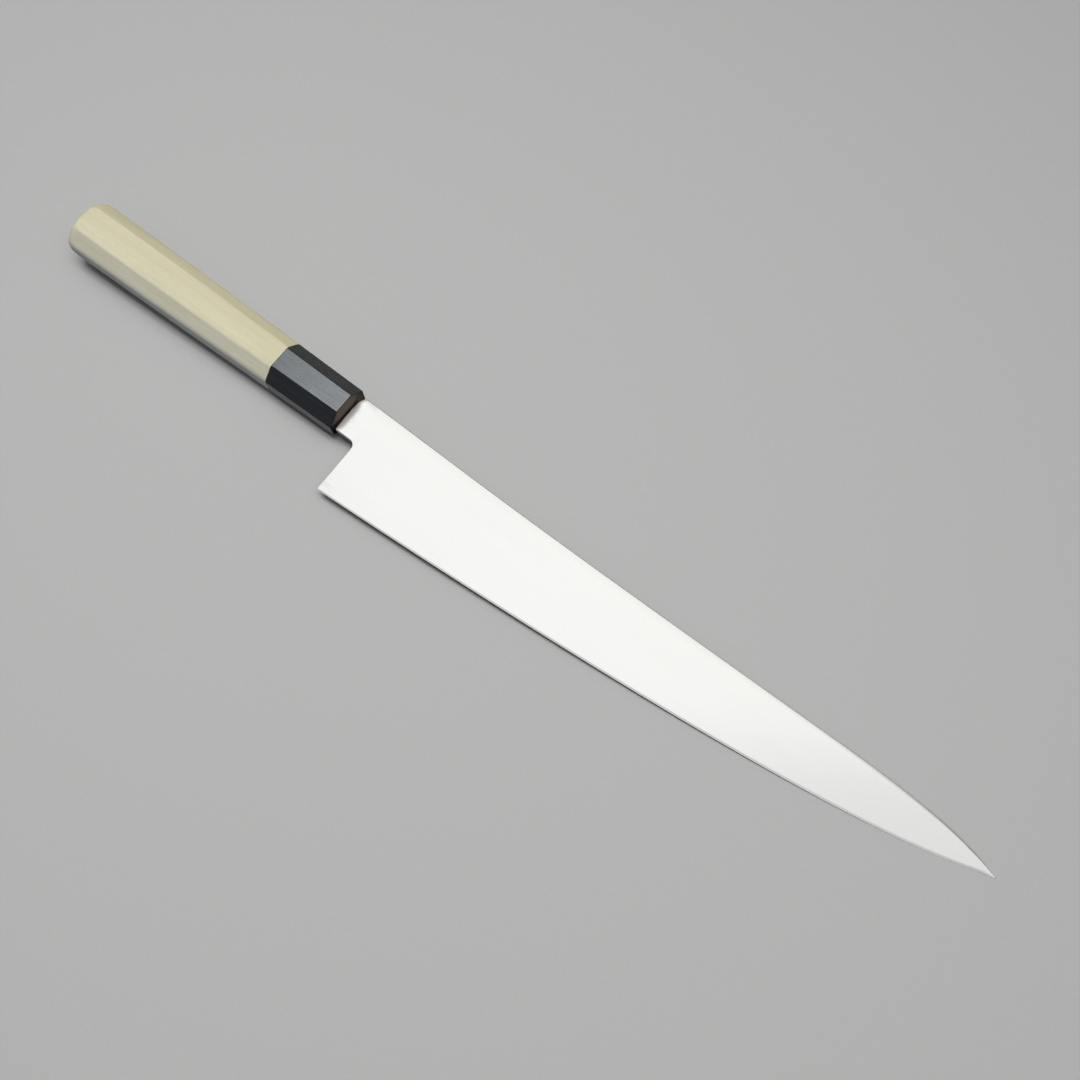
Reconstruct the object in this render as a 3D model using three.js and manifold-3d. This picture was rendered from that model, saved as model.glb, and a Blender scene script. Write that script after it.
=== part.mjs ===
// A sujihiki: a long, slim slicing knife with a hidden tang in an octagonal wooden handle.
// Millimetres. In the knife's own frame X runs along the handle to the tip, +Y points to the spine and Z runs
// through the blade's thickness. Its origin is on the handle's axis, in the ferrule's front face.
// The finished knife lies on its side on the plane Z = 0, as it comes to rest on a table.

import * as THREE from 'three';
import { mergeVertices } from 'three/addons/utils/BufferGeometryUtils.js';
import Module from 'manifold-3d';

// Blade outline
const BLADE_LENGTH = 298;      // heel to tip along the handle's axis, or 300 along the chord of the edge
const HEEL_OFFSET = 11.6;      // ferrule face to heel
const HEEL_DROP = 33.6;        // heel below the handle's axis
const SPINE_RISE = 9.3;        // spine above the axis at the neck
const POINT_RISE = 7.65;       // spine above the axis where it starts to fall to the tip
const POINT_LENGTH = 70;       // length of that fall
const TIP_RISE = 0.1;          // tip above the axis
const NECK_STANDOFF = 1.2;     // ferrule face to the neck's shoulder
const NECK_DROP = 8.8;         // underside of the neck below the axis
const NECK_CORNER_RADIUS = 2.6;
const CHOIL_RADIUS = 3.1;

// Directions of the outline curves in degrees, and how far each end pulls along its curve's length
const EDGE_HEEL = { angle: 3, pull: 0.88 };
const EDGE_TIP = { angle: 9.5, pull: 0.052 };
const SPINE_NECK = { angle: -1, pull: 0.31 };
const SPINE_POINT = { angle: 0.33, pull: 0.7 };
const POINT_START = { angle: 0.33, pull: 0.63 };
const POINT_TIP = { angle: -21, pull: 0.165 };

// Blade section
const NECK_THICKNESS = 2.6;
const HEEL_THICKNESS = 2.4;    // at the spine above the heel
const TIP_THICKNESS = 1;       // at the spine, where the tip starts to close
const TIP_CLOSING = 12;        // length over which the thickness closes to the tip
const TIP_FULLNESS = 0.75;     // 1 closes evenly, and less keeps the tip thicker
const SPINE_EASE = 0.3;        // eased corners of the spine
const BEVEL_HEEL = 0.6;        // height of the edge bevel at the heel
const BEVEL_TIP = 0.9;         // and near the tip
const BEVEL_ANGLE = 15;        // degrees on each side
const BEVEL_SHARE = 0.33;      // most of the blade's height that the bevel takes near the tip
const SHOULDER_SHARE = 0.6;    // most of the spine's thickness that its shoulder takes there
const GRIND_CURVE = 1.6;       // 1 is a flat grind, and more is rounder towards the edge

// Tang
const TANG_LENGTH = 100;       // behind the ferrule's front face
const TANG_HEIGHT = 10;        // at the neck
const TANG_END_HEIGHT = 5;
const TANG_END_THICKNESS = 1.8;

// Handle sections: height along Y, thickness along Z, and the leg of each 45 degree corner facet
const WOOD_LENGTH = 117.3;
const FERRULE_LENGTH = 35.4;
const BUTT_SECTION = { height: 25.6, thickness: 20.2, leg: 6.4 };
const JOINT_SECTION = { height: 22, thickness: 19.4, leg: 5.35 };
const FRONT_SECTION = { height: 21, thickness: 18.5, leg: 5.8 };
const FERRULE_JOINT_LEG = 5.9; // the horn's facets are cut a little deeper than the wood's at the joint
const FERRULE_EASE = 0.35;     // eased front edge of the ferrule
const GRIP_SWELL = 0.55;       // extra height and thickness of the grip half way along
const BUTT_RADIUS = 2.8;       // rounded rim of the butt
const BUTT_FADE = 6;           // length over which the octagon fades into the rim's oval
const BUTT_CROWN = 1;          // swell of the butt's end face

// Glued fits
const TENON_RADIUS = 7;
const TENON_LENGTH = 20;
const TENON_EASE = 1;
const GLUE_LINE = 0.15;        // clearance of every glued face
const BEDDING = 0.6;           // adhesive around the tang, as far as the bore's wall
const MOUTH_RECESS = 0.2;      // adhesive below the ferrule's front face

// How far the knife rolls towards its edge before the edge's belly carries it
const REST_ROLL = 6.15;

// Counts of the facets
const BLADE_COLUMNS = 60;
const TIP_PACKING = 1.5;       // how much closer the columns stand towards the tip
const LOWER_ROWS = 5;
const UPPER_ROWS = 4;
const ARC_STEPS = 6;
const CROWN_STEPS = 3;
const FADE_STEPS = 3;
const SWELL_STEPS = 7;
const SIDE_STEPS = 4;
const TURNED_SIDES = 32;
const HALVINGS = 48;           // steps of a search by halves

const OVERRUN = 1;             // how far a cutter runs past the face that it opens
const MERGE_WITHIN = 1e-5;     // points this close are one point

const HEEL_X = HEEL_OFFSET;
const TIP_X = HEEL_X + BLADE_LENGTH;
const SHOULDER_X = NECK_STANDOFF;
const JOINT_X = -FERRULE_LENGTH;
const BUTT_X = JOINT_X - WOOD_LENGTH;
const RIM_X = BUTT_X + BUTT_CROWN;

const { lerp, degToRad, smoothstep } = THREE.MathUtils;
const wasm = await Module();
wasm.setup();

// Meshes from rings of points

function addTriangle(triangles, a, b, c) {
  if (a.equals(b) || b.equals(c) || c.equals(a)) return;
  triangles.push(a, b, c);
}

function addQuad(triangles, a, b, c, d) {
  addTriangle(triangles, a, b, c);
  addTriangle(triangles, a, c, d);
}

// A skin over rings of equal count, which run towards +Y on the side that faces +Z
function addSkin(triangles, rings) {
  for (let i = 0; i + 1 < rings.length; i++) {
    const near = rings[i];
    const far = rings[i + 1];
    near.forEach((point, k) => {
      const next = (k + 1) % near.length;
      addQuad(triangles, point, far[k], far[next], near[next]);
    });
  }
}

function meshOf(triangles) {
  return mergeVertices(new THREE.BufferGeometry().setFromPoints(triangles), MERGE_WITHIN);
}

// The same ring shrunk to one point of the axis, which closes an end
function pole(ring, x) {
  const centre = new THREE.Vector3(x, 0, 0);
  return ring.map(() => centre);
}

function loft(rings, startX = rings[0][0].x) {
  const triangles = [];
  const last = rings.at(-1);
  addSkin(triangles, [pole(rings[0], startX), ...rings, pole(last, last[0].x)]);
  return meshOf(triangles);
}

// Solids for cutting and joining

function solid(geometry) {
  const bare = geometry.clone();
  bare.deleteAttribute('normal');
  bare.deleteAttribute('uv');
  const merged = mergeVertices(bare, MERGE_WITHIN);
  const corners = merged.index.array;
  const kept = [];
  for (let i = 0; i < corners.length; i += 3) {
    const [a, b, c] = corners.slice(i, i + 3);
    if (a !== b && b !== c && c !== a) kept.push(a, b, c);
  }
  const vertProperties = new Float32Array(merged.attributes.position.array);
  const triVerts = new Uint32Array(kept);
  return new wasm.Manifold(new wasm.Mesh({ numProp: 3, vertProperties, triVerts }));
}

function geometryOf(manifold) {
  const { vertProperties, triVerts } = manifold.getMesh();
  const geometry = new THREE.BufferGeometry();
  geometry.setAttribute('position', new THREE.BufferAttribute(vertProperties, 3));
  geometry.setIndex(new THREE.BufferAttribute(triVerts, 1));
  return geometry;
}

// Blade: each column is a station along X with a chain of heights and half thicknesses from the edge to the spine

function outlineCurve([x0, y0], start, [x1, y1], end) {
  const span = x1 - x0;
  const startRun = start.pull * span;
  const endRun = end.pull * span;
  return new THREE.CubicBezierCurve(
    new THREE.Vector2(x0, y0),
    new THREE.Vector2(x0 + startRun, y0 + startRun * Math.tan(degToRad(start.angle))),
    new THREE.Vector2(x1 - endRun, y1 - endRun * Math.tan(degToRad(end.angle))),
    new THREE.Vector2(x1, y1),
  );
}

const POINT_X = TIP_X - POINT_LENGTH;
const edgeCurve = outlineCurve([HEEL_X, -HEEL_DROP], EDGE_HEEL, [TIP_X, TIP_RISE], EDGE_TIP);
const backCurve = outlineCurve([SHOULDER_X, SPINE_RISE], SPINE_NECK, [POINT_X, POINT_RISE], SPINE_POINT);
const pointCurve = outlineCurve([POINT_X, POINT_RISE], POINT_START, [TIP_X, TIP_RISE], POINT_TIP);

// Height of a curve whose X grows from its start to its end
function heightAt(curve, x) {
  let low = 0;
  let high = 1;
  for (let i = 0; i < HALVINGS; i++) {
    const middle = (low + high) / 2;
    if (curve.getPoint(middle).x < x) low = middle;
    else high = middle;
  }
  return curve.getPoint((low + high) / 2).y;
}

const spineAt = (x) => heightAt(x < POINT_X ? backCurve : pointCurve, x);
const edgeAt = (x) => heightAt(edgeCurve, x);

// Rows of the chains: the edge, the bevel's shoulder, the face up to the choil, then the face up to the spine
const CHOIL_ROW = 1 + LOWER_ROWS;
const choilY = -NECK_DROP - CHOIL_RADIUS;
const faceLow = BEVEL_HEEL - HEEL_DROP;
const faceHigh = spineAt(HEEL_X) - SPINE_EASE;
const choilShare = (choilY - faceLow) / (faceHigh - faceLow);

function rowShare(row) {
  if (row <= CHOIL_ROW) return choilShare * (row - 1) / LOWER_ROWS;
  return lerp(choilShare, 1, (row - CHOIL_ROW) / UPPER_ROWS);
}

function bladeChain(x) {
  const edge = edgeAt(x);
  const spine = spineAt(x);
  const along = (x - HEEL_X) / BLADE_LENGTH;
  const closing = Math.min(1, (TIP_X - x) / TIP_CLOSING) ** TIP_FULLNESS;
  const back = lerp(HEEL_THICKNESS, TIP_THICKNESS, along) / 2 * closing;
  const ease = Math.min(SPINE_EASE, back / 2);
  const bevel = Math.min(lerp(BEVEL_HEEL, BEVEL_TIP, along), (spine - edge) * BEVEL_SHARE);
  const shoulder = Math.min(bevel * Math.tan(degToRad(BEVEL_ANGLE)), back * SHOULDER_SHARE);
  const chain = [[edge, 0]];
  for (let row = 1; row <= CHOIL_ROW + UPPER_ROWS; row++) {
    const share = rowShare(row);
    const y = lerp(edge + bevel, spine - ease, share);
    chain.push([y, lerp(shoulder, back, 1 - (1 - share) ** GRIND_CURVE)]);
  }
  chain.push([spine, back - ease]);
  return chain;
}

const bladeColumns = [];
for (let i = 0; i < BLADE_COLUMNS; i++) {
  const x = HEEL_X + BLADE_LENGTH * (1 - (1 - i / BLADE_COLUMNS) ** TIP_PACKING);
  bladeColumns.push({ x, chain: bladeChain(x) });
}
const heelChain = bladeColumns[0].chain;
bladeColumns.push({ x: TIP_X, chain: heelChain.map(() => [TIP_RISE, 0]) });

// Neck: from the shoulder with its rounded upper corner to the choil's arc at the heel
const neckUpper = heelChain.slice(CHOIL_ROW);
const neckTop = spineAt(SHOULDER_X) - NECK_CORNER_RADIUS;
const shoulderRows = [-NECK_DROP, -TANG_HEIGHT / 2, 0, TANG_HEIGHT / 2, neckTop - SPINE_EASE, neckTop];

function neckChain(x) {
  const blend = smoothstep(HEEL_X - x, 0, HEEL_X - SHOULDER_X);
  const corner = Math.max(0, SHOULDER_X + NECK_CORNER_RADIUS - x);
  const choil = Math.max(0, x - (HEEL_X - CHOIL_RADIUS));
  const top = spineAt(x) - NECK_CORNER_RADIUS + Math.sqrt(NECK_CORNER_RADIUS ** 2 - corner ** 2);
  const low = choilY + Math.sqrt(CHOIL_RADIUS ** 2 - choil ** 2);
  const heelReach = heelChain.at(-1)[0] - choilY;
  const shoulderReach = neckTop + NECK_DROP;
  return neckUpper.map(([y, half], row) => {
    const heelShare = (y - choilY) / heelReach;
    const shoulderShare = (shoulderRows[row] + NECK_DROP) / shoulderReach;
    const eased = row === neckUpper.length - 1 ? NECK_THICKNESS / 2 - SPINE_EASE : NECK_THICKNESS / 2;
    return [lerp(low, top, lerp(heelShare, shoulderShare, blend)), lerp(half, eased, blend)];
  });
}

const neckStations = [];
for (let i = 0; i <= ARC_STEPS; i++) {
  const turn = i / ARC_STEPS * Math.PI / 2;
  neckStations.push(SHOULDER_X + NECK_CORNER_RADIUS * (1 - Math.cos(turn)));
}
for (let i = 0; i < ARC_STEPS; i++) {
  const turn = i / ARC_STEPS * Math.PI / 2;
  neckStations.push(HEEL_X - CHOIL_RADIUS * (1 - Math.sin(turn)));
}
const neckColumns = neckStations.map((x) => ({ x, chain: neckChain(x) }));
neckColumns.push({ x: HEEL_X, chain: neckUpper });

// Tang: the neck's middle rows carried on behind the shoulder, tapering in height and thickness
const TANG_FIRST_ROW = 1;
const TANG_LAST_ROW = 3;
const tangShare = (x) => (SHOULDER_X - x) / (SHOULDER_X + TANG_LENGTH);
const tangHalfHeight = (x) => lerp(TANG_HEIGHT, TANG_END_HEIGHT, tangShare(x)) / 2;
const tangHalfThickness = (x) => lerp(NECK_THICKNESS, TANG_END_THICKNESS, tangShare(x)) / 2;

function tangColumn(x) {
  const half = tangHalfHeight(x);
  const thick = tangHalfThickness(x);
  return { x, chain: [[-half, thick], [0, thick], [half, thick]] };
}

const shoulderColumn = neckColumns[0];
const tangColumns = [
  tangColumn(-TANG_LENGTH),
  { x: SHOULDER_X, chain: shoulderColumn.chain.slice(TANG_FIRST_ROW, TANG_LAST_ROW + 1) },
];

function ringOf({ x, chain }) {
  const upper = chain.map(([y, half]) => new THREE.Vector3(x, y, half));
  const lower = chain.map(([y, half]) => new THREE.Vector3(x, y, -half));
  return [...upper, ...lower.reverse()];
}

// The part of a column's section, from one row to another, that faces the handle
function addEndFace(triangles, { x, chain }, first, last) {
  for (let row = first; row < last; row++) {
    const [y0, half0] = chain[row];
    const [y1, half1] = chain[row + 1];
    addQuad(
      triangles,
      new THREE.Vector3(x, y0, half0),
      new THREE.Vector3(x, y1, half1),
      new THREE.Vector3(x, y1, -half1),
      new THREE.Vector3(x, y0, -half0),
    );
  }
}

const bladeRings = bladeColumns.map(ringOf);

function bladeGeometry() {
  const triangles = [];
  addEndFace(triangles, tangColumns[0], 0, tangColumns[0].chain.length - 1);
  addSkin(triangles, tangColumns.map(ringOf));
  addEndFace(triangles, shoulderColumn, 0, TANG_FIRST_ROW);
  addEndFace(triangles, shoulderColumn, TANG_LAST_ROW, shoulderColumn.chain.length - 1);
  addSkin(triangles, neckColumns.map(ringOf));
  addEndFace(triangles, bladeColumns[0], 0, CHOIL_ROW);
  addSkin(triangles, bladeRings);
  return meshOf(triangles);
}

// The tang's outline grown on every side, from its buried end to a station in front
function tangSleeve(growth, frontX) {
  const stations = [-TANG_LENGTH - growth, frontX];
  return solid(loft(stations.map((x) => {
    const half = tangHalfHeight(x) + growth;
    const thick = tangHalfThickness(x) + growth;
    return ringOf({ x, chain: [[-half, thick], [half, thick]] });
  })));
}

// Handle: octagons along X

function octagon(x, { height, thickness, leg }, inset = 0) {
  const y = height / 2 - inset;
  const z = thickness / 2 - inset;
  const corner = leg - inset * (2 - Math.SQRT2);
  const upper = [[-y, z - corner], [-y + corner, z], [y - corner, z], [y, z - corner]];
  const lower = upper.map(([py, pz]) => [py, -pz]).reverse();
  return [...upper, ...lower].map(([py, pz]) => new THREE.Vector3(x, py, pz));
}

// A turned pin along X whose nose is eased, from its root to its nose
function turnedPin(radius, rootX, noseX, ease) {
  const profile = [[0, rootX], [radius, rootX], [radius, noseX - ease], [radius - ease, noseX], [0, noseX]];
  const points = profile.map(([r, x]) => new THREE.Vector2(r, x));
  return new THREE.LatheGeometry(points, TURNED_SIDES).rotateZ(-Math.PI / 2);
}

// The grip's octagon at a station: a taper from the butt to the joint that swells half way along
function gripSection(x) {
  const share = (JOINT_X - x) / WOOD_LENGTH;
  const swell = 4 * GRIP_SWELL * share * (1 - share);
  return {
    height: lerp(JOINT_SECTION.height, BUTT_SECTION.height, share) + swell,
    thickness: lerp(JOINT_SECTION.thickness, BUTT_SECTION.thickness, share) + swell,
    leg: lerp(JOINT_SECTION.leg, BUTT_SECTION.leg, share),
  };
}

// A ring of the grip with divided sides, inset, and near the butt drawn towards the oval within its octagon
function gripRing(x, inset = 0) {
  const section = gripSection(x);
  const roundness = Math.max(0, 1 - (x - RIM_X) / BUTT_FADE);
  const halfHeight = section.height / 2 - inset;
  const halfThickness = section.thickness / 2 - inset;
  const corners = octagon(x, section, inset);
  const ring = [];
  corners.forEach((corner, k) => {
    const next = corners[(k + 1) % corners.length];
    for (let i = 0; i < SIDE_STEPS; i++) {
      const { y, z } = corner.clone().lerp(next, i / SIDE_STEPS);
      const reach = lerp(1, Math.hypot(y / halfHeight, z / halfThickness), roundness);
      ring.push(new THREE.Vector3(x, y / reach, z / reach));
    }
  });
  return ring;
}

// The crowned end face, its rounded rim, the fade to the octagon, then the swelled taper to the joint
function handleGeometry() {
  const rim = gripRing(RIM_X, BUTT_RADIUS);
  const rings = [];
  for (let i = 1; i < CROWN_STEPS; i++) {
    const share = i / CROWN_STEPS;
    const x = BUTT_X + BUTT_CROWN * share ** 2;
    rings.push(rim.map(({ y, z }) => new THREE.Vector3(x, y * share, z * share)));
  }
  for (let i = 0; i <= ARC_STEPS; i++) {
    const turn = i / ARC_STEPS * Math.PI / 2;
    rings.push(gripRing(RIM_X + BUTT_RADIUS * (1 - Math.cos(turn)), BUTT_RADIUS * (1 - Math.sin(turn))));
  }
  const fadeX = RIM_X + BUTT_FADE;
  for (let i = 1; i <= FADE_STEPS; i++) {
    rings.push(gripRing(lerp(RIM_X + BUTT_RADIUS, fadeX, i / FADE_STEPS)));
  }
  const faceX = JOINT_X - GLUE_LINE;
  for (let i = 1; i <= SWELL_STEPS; i++) {
    rings.push(gripRing(lerp(fadeX, faceX, i / SWELL_STEPS)));
  }
  const body = solid(loft(rings, BUTT_X));
  const tenon = solid(turnedPin(TENON_RADIUS, faceX - OVERRUN, JOINT_X + TENON_LENGTH, TENON_EASE));
  return geometryOf(body.add(tenon).subtract(tangSleeve(BEDDING, OVERRUN)));
}

function ferruleGeometry() {
  const back = { ...JOINT_SECTION, leg: FERRULE_JOINT_LEG };
  const body = solid(loft([
    octagon(JOINT_X, back),
    octagon(-FERRULE_EASE, FRONT_SECTION),
    octagon(0, FRONT_SECTION, FERRULE_EASE),
  ]));
  const socketEnd = JOINT_X + TENON_LENGTH + GLUE_LINE;
  const socket = solid(turnedPin(TENON_RADIUS + GLUE_LINE, JOINT_X - OVERRUN, socketEnd, TENON_EASE));
  return geometryOf(body.subtract(socket).subtract(tangSleeve(BEDDING, OVERRUN)));
}

function beddingGeometry() {
  const filling = tangSleeve(BEDDING - GLUE_LINE, -MOUTH_RECESS);
  return geometryOf(filling.subtract(tangSleeve(GLUE_LINE, OVERRUN)));
}

// Assembly, in the order in which the knife is put together

function piece(name, geometry, color, roughness, metalness) {
  const mesh = new THREE.Mesh(geometry, new THREE.MeshStandardMaterial({ color, roughness, metalness }));
  mesh.name = name;
  return mesh;
}

const rolled = new THREE.Group();
rolled.add(piece('handle_body', handleGeometry(), 0xd8d0ae, 0.6, 0));
rolled.add(piece('ferrule', ferruleGeometry(), 0x16171a, 0.25, 0));
rolled.add(piece('tang_bedding', beddingGeometry(), 0x2b1f16, 0.5, 0));
rolled.add(piece('blade', bladeGeometry(), 0xdadbdc, 0.3, 1));
rolled.rotation.x = degToRad(REST_ROLL);

// The rolled knife tips about the ferrule's lowest corner until the blade's belly meets the same plane
const lay = (point) => point.clone().applyEuler(rolled.rotation);
const footing = octagon(-FERRULE_EASE, FRONT_SECTION).map(lay).sort((a, b) => a.z - b.z)[0];
const dips = bladeRings.flat().map(lay).map((point) => Math.atan2(point.z - footing.z, point.x - footing.x));

const tipped = new THREE.Group();
tipped.add(rolled);
tipped.rotation.y = Math.min(...dips);

const knife = new THREE.Group();
knife.add(tipped);
knife.updateMatrixWorld(true);
const box = new THREE.Box3().setFromObject(knife, true);
const middle = box.getCenter(new THREE.Vector3());
tipped.position.set(-middle.x, -middle.y, -box.min.z);

export default knife;
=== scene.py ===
# A sujihiki slicing knife, laid on its side on a pale table: magnolia grip, horn ferrule, stainless blade.
# Metres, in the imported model's frame: X runs from the butt to the tip, +Y is the spine's side, Z is up.

import math

import bmesh
import bpy
from mathutils import Euler, Matrix


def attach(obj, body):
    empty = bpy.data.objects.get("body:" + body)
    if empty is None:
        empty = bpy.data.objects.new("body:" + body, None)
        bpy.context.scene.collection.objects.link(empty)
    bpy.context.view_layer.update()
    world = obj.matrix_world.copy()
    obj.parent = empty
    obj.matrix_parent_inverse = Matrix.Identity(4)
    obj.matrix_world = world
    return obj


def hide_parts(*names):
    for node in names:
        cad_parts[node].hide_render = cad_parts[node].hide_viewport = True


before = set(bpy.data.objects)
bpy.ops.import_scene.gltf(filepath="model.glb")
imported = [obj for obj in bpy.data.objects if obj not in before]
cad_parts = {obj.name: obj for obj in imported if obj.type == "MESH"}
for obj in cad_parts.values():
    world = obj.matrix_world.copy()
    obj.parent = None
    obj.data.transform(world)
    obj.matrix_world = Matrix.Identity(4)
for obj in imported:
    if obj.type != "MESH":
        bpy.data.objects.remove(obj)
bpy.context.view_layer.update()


# Grip
# The octagonal grip is one piece of magnolia, planed to eight flats that swell a little and narrow forwards.
# Its butt is rounded over by hand, the long edges are softened with fine paper, and the wood is left bare.

FLAT_EDGE = 0.0015          # width of the softened edges of the two broad flats
SIDE_EDGE = 0.003           # and of the two narrow side flats
GRIP_EDGE_STEPS = 5
SIDE_ROUNDS = 8             # passes of paper over the side flats' edges, which round them further in
SIDE_REACH = 0.0085         # from the grip's axis to where those passes start
SANDED = (-0.1455, -0.036)  # from the butt's rounding to the joint
CORNER_TURN = math.radians(16)     # turn past which a long corner of the grip is softened
LENGTHWISE = 0.5            # share of an edge's length along X from which it counts as a long one
QUAD_TURN = math.radians(40)       # turn that two triangles of one quad may have
SHARP_TURN = math.radians(24)      # turn past which an edge stays crisp in the shading
SAME_POINT = 0.000002

# How the knife lies: rolled towards its edge, tipped towards its point, with the ferrule's front face here
REST_ROLL = math.radians(6.15)
REST_TIP = math.radians(1.7727)
FERRULE_FACE = (-0.078413, 0.010159, 0.009685)
REST = Matrix.Translation(FERRULE_FACE) @ Euler((REST_ROLL, REST_TIP, 0)).to_matrix().to_4x4()
KNIFE = REST.inverted()


def copy_of(node, name):
    bpy.ops.object.select_all(action="DESELECT")
    piece = bpy.data.objects.new(name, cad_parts[node].data.copy())
    bpy.context.collection.objects.link(piece)
    bpy.context.view_layer.objects.active = piece
    piece.select_set(True)
    piece.data.materials.clear()
    bpy.ops.mesh.customdata_custom_splitnormals_clear()
    bpy.ops.object.mode_set(mode="EDIT")
    bpy.ops.mesh.select_all(action="SELECT")
    bpy.ops.mesh.remove_doubles(threshold=SAME_POINT)
    bpy.ops.mesh.tris_convert_to_quads(face_threshold=QUAD_TURN, shape_threshold=math.pi)
    return piece


def select_edges(piece, wanted):
    bpy.ops.mesh.select_mode(type="EDGE")
    bpy.ops.mesh.select_all(action="DESELECT")
    edit = bmesh.from_edit_mesh(piece.data)
    for edge in edit.edges:
        edge.select_set(wanted(edge))
    bmesh.update_edit_mesh(piece.data)


def on_knife(edge):
    return [KNIFE @ vert.co for vert in edge.verts]


def long_corner(edge):
    along = edge.verts[1].co - edge.verts[0].co
    return edge.calc_face_angle(0) > CORNER_TURN and abs(along.x) > along.length * LENGTHWISE


def side_corner(edge):
    return long_corner(edge) and all(abs(point.y) > abs(point.z) for point in on_knife(edge))


def flat_corner(edge):
    return long_corner(edge) and all(abs(point.y) < abs(point.z) for point in on_knife(edge))


def side_edge(edge):
    return all(SANDED[0] < point.x < SANDED[1] and abs(point.y) > SIDE_REACH for point in on_knife(edge))


def finish_piece(piece, node, material, smooth_turn):
    bpy.ops.object.mode_set(mode="OBJECT")
    bpy.ops.object.shade_smooth_by_angle(angle=smooth_turn)
    weighting = piece.modifiers.new("flat faces stay flat", "WEIGHTED_NORMAL")
    weighting.keep_sharp = True
    bpy.ops.object.modifier_apply(modifier=weighting.name)
    piece.data.materials.append(material)
    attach(piece, "root")
    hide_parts(node)


def colour(hex_code):
    linear = []
    for i in (1, 3, 5):
        value = int(hex_code[i:i + 2], 16) / 255
        linear.append(value / 12.92 if value <= 0.04045 else ((value + 0.055) / 1.055) ** 2.4)
    return (*linear, 1)


def new_material(name):
    material = bpy.data.materials.new(name)
    material.use_nodes = True
    material.node_tree.nodes.clear()
    return material, material.node_tree


def add_node(tree, kind, inputs, **settings):
    node = tree.nodes.new(kind)
    for name, value in settings.items():
        setattr(node, name, value)
    for name, value in inputs.items():
        if isinstance(value, bpy.types.NodeSocket):
            tree.links.new(value, node.inputs[name])
        else:
            node.inputs[name].default_value = value
    return node


# Magnolia, planed and sanded: pale greenish cream, straight fibres, faint year rings, fine short pores.
# The bare surface is matt, so the eye reads silky streaks along the grip and no gloss.
magnolia, tree = new_material("sanded magnolia")
RING_WIDTH = 0.0024
FIBRE = (0.026, 0.0004, 0.0004)    # length, then width both ways
PORE = (0.004, 0.00022, 0.00022)   # drawn about twice as wide as real pores, so that they show
CLOUD = (0.07, 0.009, 0.009)
PITH = (0, -0.034, -0.021)         # from the grip's axis to the middle of the trunk


def knife_place(tree):
    spot = add_node(tree, "ShaderNodeTexCoord", {})
    place = add_node(tree, "ShaderNodeMapping", {
        "Vector": spot.outputs["Object"],
        "Location": FERRULE_FACE,
        "Rotation": (REST_ROLL, REST_TIP, 0),
    }, vector_type="TEXTURE")
    return place.outputs["Vector"]


def streaks(tree, size, detail, place):
    stretched = add_node(tree, "ShaderNodeMapping", {
        "Vector": place, "Scale": [1 / length for length in size],
    })
    noise = add_node(tree, "ShaderNodeTexNoise", {
        "Vector": stretched.outputs["Vector"],
        "Scale": 1,
        "Detail": detail,
        "Roughness": 0.55,
    })
    return noise.outputs["Fac"]


place = knife_place(tree)
fibre = streaks(tree, FIBRE, 3, place)
pore = streaks(tree, PORE, 1, place)
cloud = streaks(tree, CLOUD, 2, place)
trunk = add_node(tree, "ShaderNodeMapping", {"Vector": place, "Location": [-x for x in PITH]})
ring = add_node(tree, "ShaderNodeTexWave", {
    "Vector": trunk.outputs["Vector"],
    "Scale": math.pi / (10 * RING_WIDTH),
    "Distortion": 3.5,
    "Detail": 2,
    "Detail Scale": 0.35,
}, wave_type="RINGS", rings_direction="X", wave_profile="SAW")
late_wood = add_node(tree, "ShaderNodeMath", {0: ring.outputs["Fac"], 1: 3.0}, operation="POWER")
clouded = add_node(tree, "ShaderNodeMapRange", {"Value": cloud, "From Min": 0.35, "From Max": 0.65})
ground = add_node(tree, "ShaderNodeMix", {
    0: clouded.outputs["Result"],
    6: colour("#D6CFAC"),
    7: colour("#DED7B5"),
}, data_type="RGBA")
fibre_share = add_node(tree, "ShaderNodeMapRange", {
    "Value": fibre, "From Min": 0.3, "From Max": 0.72, "To Min": 0, "To Max": 0.23,
})
fibred = add_node(tree, "ShaderNodeMix", {
    0: fibre_share.outputs["Result"],
    6: ground.outputs[2],
    7: colour("#C0B891"),
}, data_type="RGBA")
ring_share = add_node(tree, "ShaderNodeMath", {0: late_wood.outputs[0], 1: 0.12}, operation="MULTIPLY")
ringed = add_node(tree, "ShaderNodeMix", {
    0: ring_share.outputs[0],
    6: fibred.outputs[2],
    7: colour("#B6AC83"),
}, data_type="RGBA")
pore_share = add_node(tree, "ShaderNodeMapRange", {
    "Value": pore, "From Min": 0.6, "From Max": 0.74, "To Min": 0, "To Max": 0.21,
})
pored = add_node(tree, "ShaderNodeMix", {
    0: pore_share.outputs["Result"],
    6: ringed.outputs[2],
    7: colour("#9A8E6D"),
}, data_type="RGBA")
dry = add_node(tree, "ShaderNodeMapRange", {"Value": fibre, "To Min": 0.5, "To Max": 0.66})
relief = add_node(tree, "ShaderNodeMath", {0: fibre, 1: pore_share.outputs["Result"]}, operation="SUBTRACT")
grain = add_node(tree, "ShaderNodeBump", {
    "Height": relief.outputs[0], "Strength": 0.3, "Distance": 0.00005,
})
wood = add_node(tree, "ShaderNodeBsdfPrincipled", {
    "Base Color": pored.outputs[2],
    "Roughness": dry.outputs["Result"],
    "IOR": 1.5,
    "Specular IOR Level": 0.35,
    "Normal": grain.outputs["Normal"],
})
add_node(tree, "ShaderNodeOutputMaterial", {"Surface": wood.outputs["BSDF"]})

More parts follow.
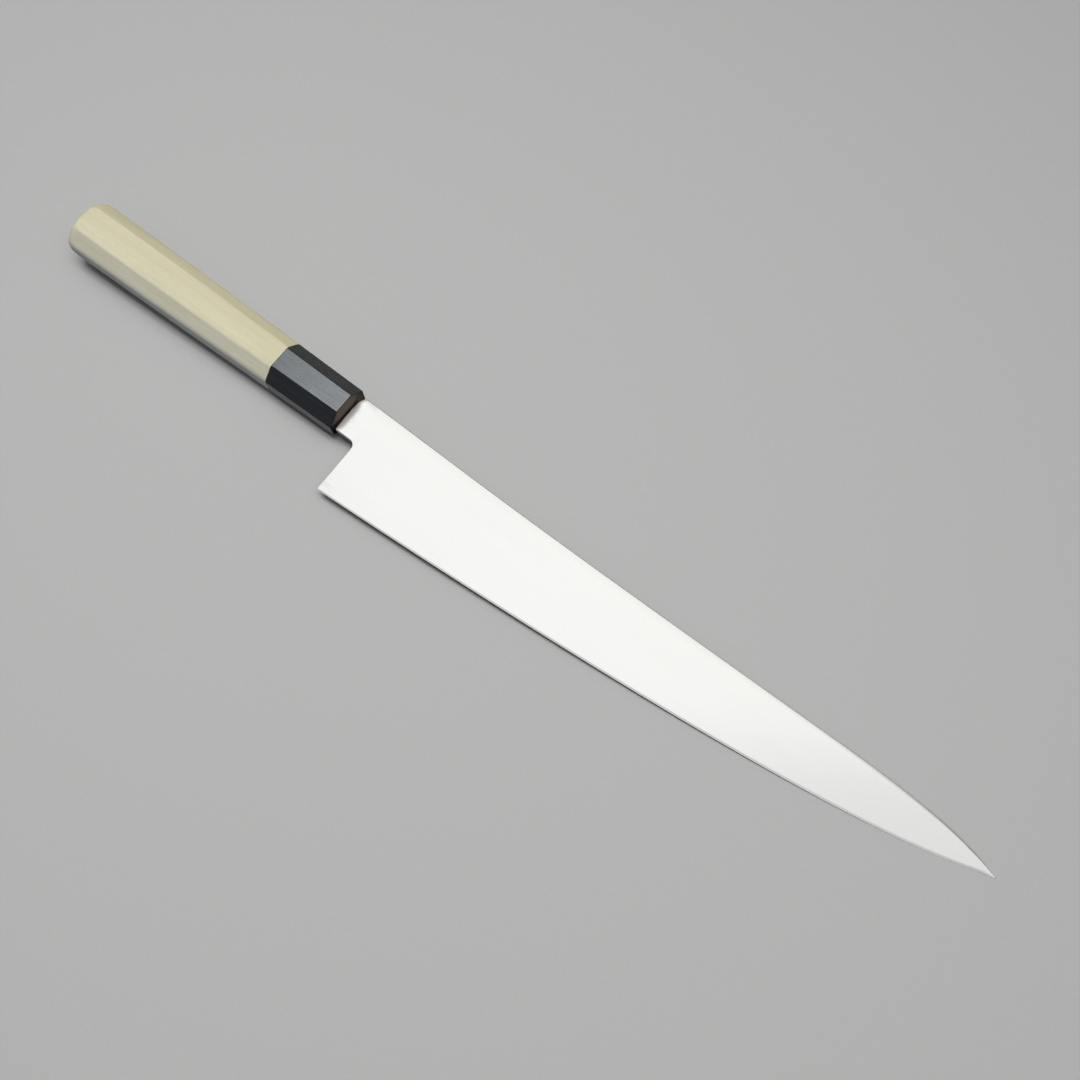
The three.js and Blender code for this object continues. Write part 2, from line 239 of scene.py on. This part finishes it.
grip = copy_of("handle_body", "grip")
select_edges(grip, flat_corner)
bpy.ops.mesh.bevel(offset=FLAT_EDGE / 2, segments=GRIP_EDGE_STEPS, affect="EDGES")
select_edges(grip, side_corner)
bpy.ops.mesh.bevel(offset=SIDE_EDGE / 2, segments=GRIP_EDGE_STEPS, affect="EDGES")
select_edges(grip, side_edge)
bpy.ops.mesh.vertices_smooth(factor=0.5, repeat=SIDE_ROUNDS)
finish_piece(grip, "handle_body", magnolia, SHARP_TURN)


# Ferrule
# The collar is sawn from black buffalo horn, bored for the grip's tenon and slotted for the tang.
# It is glued on, planed to the grip's flats, a little deeper at the corners, and buffed to a soft shine.

FERRULE_EDGE = 0.0005
FERRULE_EDGE_STEPS = 3
FLAT_TURN = math.radians(0.5)      # turn within which the triangles of one flat lie

# Buffalo horn, buffed and waxed: near black with faint streaks along it, brown and duller on the sawn front.
# Its shine is a little uneven from the hand buffing, so a light in it looks faintly streaked.
horn, tree = new_material("buffed buffalo horn")
HORN_STREAK = (0.02, 0.0012, 0.0012)
BUFFING = (0.012, 0.0016, 0.0016)
FRONT_DEPTH = 0.0003        # how deep behind the front face the brown reaches
CORE = (0.0052, 0.0095)     # from the axis, where the brown core starts to darken and where it ends
CORE_SQUASH = 0.6           # the core is flatter than the ferrule

place = knife_place(tree)
streak = streaks(tree, HORN_STREAK, 3, place)
buffing = streaks(tree, BUFFING, 3, place)
streak_share = add_node(tree, "ShaderNodeMapRange", {"Value": streak, "From Min": 0.45, "From Max": 0.8})
streaked = add_node(tree, "ShaderNodeMix", {
    0: streak_share.outputs["Result"],
    6: colour("#0A0C10"),
    7: colour("#1E1D1C"),
}, data_type="RGBA")
split_place = add_node(tree, "ShaderNodeSeparateXYZ", {"Vector": place})
front_share = add_node(tree, "ShaderNodeMapRange", {
    "Value": split_place.outputs["X"], "From Min": -FRONT_DEPTH, "From Max": 0,
})
squashed = add_node(tree, "ShaderNodeMapping", {"Vector": place, "Scale": (0, 1, CORE_SQUASH)})
from_axis = add_node(tree, "ShaderNodeVectorMath", {0: squashed.outputs["Vector"]}, operation="LENGTH")
core = add_node(tree, "ShaderNodeMapRange", {
    "Value": from_axis.outputs["Value"], "From Min": CORE[0], "From Max": CORE[1], "To Min": 1, "To Max": 0,
})
core_share = add_node(tree, "ShaderNodeMath", {
    0: front_share.outputs["Result"], 1: core.outputs["Result"],
}, operation="MULTIPLY")
horn_tone = add_node(tree, "ShaderNodeMix", {
    0: core_share.outputs[0],
    6: streaked.outputs[2],
    7: colour("#67503D"),
}, data_type="RGBA")
shine = add_node(tree, "ShaderNodeMapRange", {
    "Value": buffing, "From Min": 0.3, "From Max": 0.7, "To Min": 0.25, "To Max": 0.29,
})
gloss = add_node(tree, "ShaderNodeMapRange", {
    "Value": front_share.outputs["Result"], "To Min": 0.3, "To Max": 0.08,
})
waviness = add_node(tree, "ShaderNodeBump", {
    "Height": buffing, "Strength": 0.03, "Distance": 0.00004,
})
black_horn = add_node(tree, "ShaderNodeBsdfPrincipled", {
    "Base Color": horn_tone.outputs[2],
    "Roughness": shine.outputs["Result"],
    "IOR": 1.56,
    "Specular IOR Level": gloss.outputs["Result"],
    "Normal": waviness.outputs["Normal"],
})
add_node(tree, "ShaderNodeOutputMaterial", {"Surface": black_horn.outputs["BSDF"]})

ferrule = copy_of("ferrule", "horn_ferrule")
bpy.ops.mesh.dissolve_limited(angle_limit=FLAT_TURN)
select_edges(ferrule, long_corner)
bpy.ops.mesh.bevel(offset=FERRULE_EDGE / 2, segments=FERRULE_EDGE_STEPS, affect="EDGES")
finish_piece(ferrule, "ferrule", horn, SHARP_TURN)


# Tang bedding
# A dark adhesive fills the bore and the slot round the tang and holds the blade.
# Only its skin in the ferrule's mouth shows, as a dull dark line round the neck.

# Cured adhesive, wiped off level: dark brown, with a faintly lumpy skin.
adhesive, tree = new_material("cured dark adhesive")
LUMP = (0.0012, 0.0012, 0.0012)

lump = streaks(tree, LUMP, 2, knife_place(tree))
mottled = add_node(tree, "ShaderNodeMix", {
    0: lump,
    6: colour("#15100C"),
    7: colour("#33271D"),
}, data_type="RGBA")
skin = add_node(tree, "ShaderNodeBump", {"Height": lump, "Strength": 0.4, "Distance": 0.0001})
glue = add_node(tree, "ShaderNodeBsdfPrincipled", {
    "Base Color": mottled.outputs[2],
    "Roughness": 0.48,
    "IOR": 1.55,
    "Normal": skin.outputs["Normal"],
})
add_node(tree, "ShaderNodeOutputMaterial", {"Surface": glue.outputs["BSDF"]})

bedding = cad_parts["tang_bedding"]
bedding.data.materials.clear()
bedding.data.materials.append(adhesive)


# Blade
# One stainless blank, ground thin from spine to edge and from heel to tip, with a fine bevel honed on it.
# The neck's shoulder and the choil are filed, the spine is eased, and the tang is glued in, its steel in the
# gap before the shoulder painted dark as painted shade of that gap.

SHOULDER_X = 0.0012         # ferrule face to the neck's shoulder as laid out
FITTED_X = 0.0007           # and as fitted, with the blade driven in until a thin dark line is left
HEEL_X = 0.0116             # ferrule face to the heel
STEP_X = 0.0005             # where the thinner tang starts
TANG_SHARE = 0.75           # its thickness in shares of the neck's
SHOULDER_EDGE = 0.0004      # width of the rounded shoulder
FILED_EDGE = 0.00022        # width of the filed corners of neck, choil and heel
FILED_HALF = 0.0003         # half thickness below which a corner stays as ground
NECK_LOW = -0.008           # the neck's underside and all below it
RIGHT_TURN = math.radians(60)      # turn past which an edge is a corner to file
SHOULDER_TURN = math.radians(25)
HONED_TURN = (math.radians(7), math.radians(24))   # turn along the honed bevel's upper line
HONED_HALF = 0.0003         # half thickness below which that line runs
SPINE_TURN = math.radians(50)      # the spine's eased corners shade as one round
NEAR = 0.00003

# Stainless steel, polished lengthways to a satin: bright, nearly white under a soft light.
# The fine polishing lines only spread the light across the blade. The wheel doesn't reach the neck close to
# the ferrule, which stays matt; its colour there is painted paler, as painted light against the ferrule's
# shade. The tang's steel in the gap before the shoulder is painted dark, as painted shade of that gap.
steel, tree = new_material("satin stainless steel")
POLISHING_LINE = (0.06, 0.00035, 0.00035)   # many times as wide as real lines, so that they show
POLISHING_CLOUD = (0.05, 0.012, 0.012)
NECK_POLISH_AND_PAINTED_LIGHT = (0.001, 0.0042)   # from the ferrule's face, where the wheel's polish starts and the neck's painted light begins to fade, and where the polish is full and that painted light is gone

place = knife_place(tree)
line = streaks(tree, POLISHING_LINE, 3, place)
cloud = streaks(tree, POLISHING_CLOUD, 2, place)
lined = add_node(tree, "ShaderNodeMix", {
    0: line,
    6: colour("#BEBDBA"),
    7: colour("#C4C3C0"),
}, data_type="RGBA")
split_place = add_node(tree, "ShaderNodeSeparateXYZ", {"Vector": place})
polish_and_painted_light = add_node(tree, "ShaderNodeMapRange", {
    "Value": split_place.outputs["X"], "From Min": NECK_POLISH_AND_PAINTED_LIGHT[0], "From Max": NECK_POLISH_AND_PAINTED_LIGHT[1],
})
# Painted light: the neck close to the ferrule is painted paler, standing in for light against the ferrule's
# shade.
painted_light_neck_tone = add_node(tree, "ShaderNodeMix", {
    0: polish_and_painted_light.outputs["Result"],
    6: colour("#E8E5E1"),
    7: lined.outputs[2],
}, data_type="RGBA")
# Painted shade: the tang's steel in the gap before the shoulder is painted dark, standing in for the gap's
# shade.
clear_of_painted_gap_shade = add_node(tree, "ShaderNodeMapRange", {
    "Value": split_place.outputs["X"], "From Min": STEP_X, "From Max": FITTED_X,
})
steel_tone = add_node(tree, "ShaderNodeMix", {
    0: clear_of_painted_gap_shade.outputs["Result"],
    6: colour("#5A5048"),
    7: painted_light_neck_tone.outputs[2],
}, data_type="RGBA")
satin = add_node(tree, "ShaderNodeMath", {0: line, 1: cloud}, operation="ADD")
satin_rough = add_node(tree, "ShaderNodeMapRange", {
    "Value": satin.outputs[0], "From Min": 0.6, "From Max": 1.4, "To Min": 0.19, "To Max": 0.23,
})
steel_rough = add_node(tree, "ShaderNodeMix", {
    0: polish_and_painted_light.outputs["Result"],
    2: 0.45,
    3: satin_rough.outputs["Result"],
}, data_type="FLOAT")
lines = add_node(tree, "ShaderNodeBump", {"Height": line, "Strength": 0.1, "Distance": 0.00001})
satin_steel = add_node(tree, "ShaderNodeBsdfPrincipled", {
    "Base Color": steel_tone.outputs[2],
    "Metallic": 1,
    "Roughness": steel_rough.outputs[0],
    "Normal": lines.outputs["Normal"],
})
add_node(tree, "ShaderNodeOutputMaterial", {"Surface": satin_steel.outputs["BSDF"]})


def shoulder_corner(edge):
    at_shoulder = all(abs(point.x - FITTED_X) < NEAR for point in on_knife(edge))
    return at_shoulder and edge.is_convex and edge.calc_face_angle(0) > SHOULDER_TURN


def filed_corner(edge):
    below_neck = all(
        FITTED_X + NEAR < point.x < HEEL_X + NEAR and point.y < NECK_LOW and abs(point.z) > FILED_HALF
        for point in on_knife(edge)
    )
    return below_neck and edge.is_convex and edge.calc_face_angle(0) > RIGHT_TURN


def honed_line(edge):
    thin = all(abs(point.z) < HONED_HALF and point.x > HEEL_X - NEAR for point in on_knife(edge))
    return thin and HONED_TURN[0] < edge.calc_face_angle(0) < HONED_TURN[1]


blade = copy_of("blade", "blade_steel")
bpy.ops.mesh.select_all(action="SELECT")
bpy.ops.mesh.bisect(plane_co=REST @ Matrix.Translation((STEP_X, 0, 0)).translation, plane_no=REST.col[0].xyz)
edit = bmesh.from_edit_mesh(blade.data)
for vert in edit.verts:
    point = KNIFE @ vert.co
    if point.x < STEP_X + NEAR:
        point.z *= TANG_SHARE
    if abs(point.x - SHOULDER_X) < NEAR:
        point.x = FITTED_X
    vert.co = REST @ point
bmesh.update_edit_mesh(blade.data)
select_edges(blade, shoulder_corner)
bpy.ops.mesh.bevel(offset=SHOULDER_EDGE / 2, segments=4, affect="EDGES")
select_edges(blade, filed_corner)
bpy.ops.mesh.bevel(offset=FILED_EDGE / 2, segments=3, affect="EDGES")
select_edges(blade, honed_line)
bpy.ops.mesh.mark_sharp()
finish_piece(blade, "blade", steel, SPINE_TURN)


# Table
# A plain pale sheet of matt paper, wide enough to fill the view. It throws little light back up,
# so that the knife's lower sides stay deep. Out of the lamps' reach it turns into a backdrop of its tone.

TABLE_SIZE = 12
BACKDROP = (0.4, 1.0)       # from the middle of the knife, where the backdrop starts and where it is full
bpy.ops.object.select_all(action="DESELECT")
bpy.ops.mesh.primitive_plane_add(size=TABLE_SIZE)
table = bpy.context.object
table.name = "table"
paper, tree = new_material("matt pale paper")
spot = add_node(tree, "ShaderNodeTexCoord", {})
tooth = add_node(tree, "ShaderNodeTexNoise", {"Vector": spot.outputs["Object"], "Scale": 900, "Detail": 2})
paper_tone = add_node(tree, "ShaderNodeMix", {
    0: tooth.outputs["Fac"],
    6: colour("#BBBBBA"),
    7: colour("#BFBFBE"),
}, data_type="RGBA")
ray = add_node(tree, "ShaderNodeLightPath", {})
seen = add_node(tree, "ShaderNodeMath", {0: ray.outputs["Is Camera Ray"], 1: ray.outputs["Is Glossy Ray"]})
shown = add_node(tree, "ShaderNodeMath", {
    0: seen.outputs[0], 1: ray.outputs["Is Transmission Ray"],
}, use_clamp=True)
sheet_tone = add_node(tree, "ShaderNodeMix", {
    0: shown.outputs[0],
    6: colour("#5C5C5C"),
    7: paper_tone.outputs[2],
}, data_type="RGBA")
sheet = add_node(tree, "ShaderNodeBsdfPrincipled", {"Base Color": sheet_tone.outputs[2], "Roughness": 0.9})
from_knife = add_node(tree, "ShaderNodeVectorMath", {0: spot.outputs["Object"]}, operation="LENGTH")
far = add_node(tree, "ShaderNodeMapRange", {
    "Value": from_knife.outputs["Value"], "From Min": BACKDROP[0], "From Max": BACKDROP[1],
})
far_share = add_node(tree, "ShaderNodeMath", {
    0: far.outputs["Result"], 1: shown.outputs[0],
}, operation="MULTIPLY")
backdrop = add_node(tree, "ShaderNodeEmission", {"Color": colour("#B4B4B3"), "Strength": 1})
floor = add_node(tree, "ShaderNodeMixShader", {
    0: far_share.outputs[0], 1: sheet.outputs["BSDF"], 2: backdrop.outputs["Emission"],
})
add_node(tree, "ShaderNodeOutputMaterial", {"Surface": floor.outputs["Shader"]})
table.data.materials.append(paper)


# Light
# A long soft box hangs over the knife, and a second one, turned, brightens the blade from heel to middle.
# A narrow one lights the flats from straight above, and a cool one fills only the grip's near side.
# One more shines only on the ferrule, for its upper flat, and one only on the blade, for the honed edge.
# The room looks pale but is dim.


def soft_box(name, place, size, turn, radiance, tint=(1, 1, 1)):
    angles = [math.radians(angle) for angle in turn]
    bpy.ops.object.light_add(type="AREA", location=place, rotation=angles)
    lamp = bpy.context.object
    lamp.name = name
    lamp.data.shape = "RECTANGLE"
    lamp.data.size, lamp.data.size_y = size
    lamp.data.energy = radiance * math.pi * size[0] * size[1]
    lamp.data.color = tint
    return lamp


def shine_only_on(lamp, piece):
    lit = bpy.data.collections.new("lit by " + lamp.name)
    lit.objects.link(piece)
    lamp.light_linking.receiver_collection = lit


soft_box("along the knife", (-0.03, 0.08, 1.04), (1.95, 0.6), (0, 0, 0), 0.94)
soft_box("over heel and middle", (-0.164, 0.177, 1), (0.8, 0.72), (0, 0, 52), 0.39)
from_above = soft_box("from straight above", (-0.1, -0.05, 1.2), (1, 0.35), (0, 0, 0), 7.2)
from_above.visible_glossy = False
cool_fill = soft_box("on the grip's near side", (-0.17, -1.1, 0.45), (1, 0.5), (68, 0, 0), 2,
                     (0.23, 0.36, 1))
cool_fill.visible_glossy = False
shine_only_on(cool_fill, grip)
in_ferrule = soft_box("in the ferrule", (-0.405, 0.145, 1.08), (0.36, 0.36), (0, 0, 0), 13.1,
                      (0.9, 0.97, 1))
shine_only_on(in_ferrule, ferrule)
along_edge = soft_box("along the honed edge", (0.08, -0.475, 1), (1.15, 0.3), (0, 0, 5), 0.72,
                      (1, 0.97, 0.92))
shine_only_on(along_edge, blade)

world = bpy.data.worlds.new("room")
world.use_nodes = True
bpy.context.scene.world = world
tree = world.node_tree
tree.nodes.clear()
spot = add_node(tree, "ShaderNodeTexCoord", {})
heading = add_node(tree, "ShaderNodeSeparateXYZ", {"Vector": spot.outputs["Generated"]})
dim = add_node(tree, "ShaderNodeMix", {
    0: heading.outputs["Z"], 6: colour("#22262F"), 7: colour("#868686"),
}, data_type="RGBA")
side = add_node(tree, "ShaderNodeMapRange", {
    "Value": heading.outputs["Y"], "From Min": -0.7, "From Max": 0.7,
})
pale = add_node(tree, "ShaderNodeMix", {
    0: side.outputs["Result"], 6: colour("#B2B9C6"), 7: colour("#BEBEBB"),
}, data_type="RGBA")
ray = add_node(tree, "ShaderNodeLightPath", {})
seen = add_node(tree, "ShaderNodeMath", {0: ray.outputs["Is Camera Ray"], 1: ray.outputs["Is Glossy Ray"]})
shown = add_node(tree, "ShaderNodeMath", {
    0: seen.outputs[0], 1: ray.outputs["Is Transmission Ray"],
}, use_clamp=True)
room = add_node(tree, "ShaderNodeMix", {
    0: shown.outputs[0], 6: dim.outputs[2], 7: pale.outputs[2],
}, data_type="RGBA")
glow = add_node(tree, "ShaderNodeBackground", {"Color": room.outputs[2], "Strength": 1})
add_node(tree, "ShaderNodeOutputWorld", {"Surface": glow.outputs["Background"]})
bpy.context.scene.view_settings.view_transform = "Standard"


# Camera
# It looks down at the blade from the edge's side, as fitted to the outline of blade, ferrule and handle.

CAMERA_PLACE = (0.15432, -0.16304, 0.48725)
CAMERA_TURN = (24.863, -0.144, 37.648)
CAMERA_LENS = 44.154
bpy.ops.object.camera_add(location=CAMERA_PLACE, rotation=[math.radians(turn) for turn in CAMERA_TURN])
camera = bpy.context.object
camera.data.lens = CAMERA_LENS
camera.data.sensor_width = 36
bpy.context.scene.camera = camera
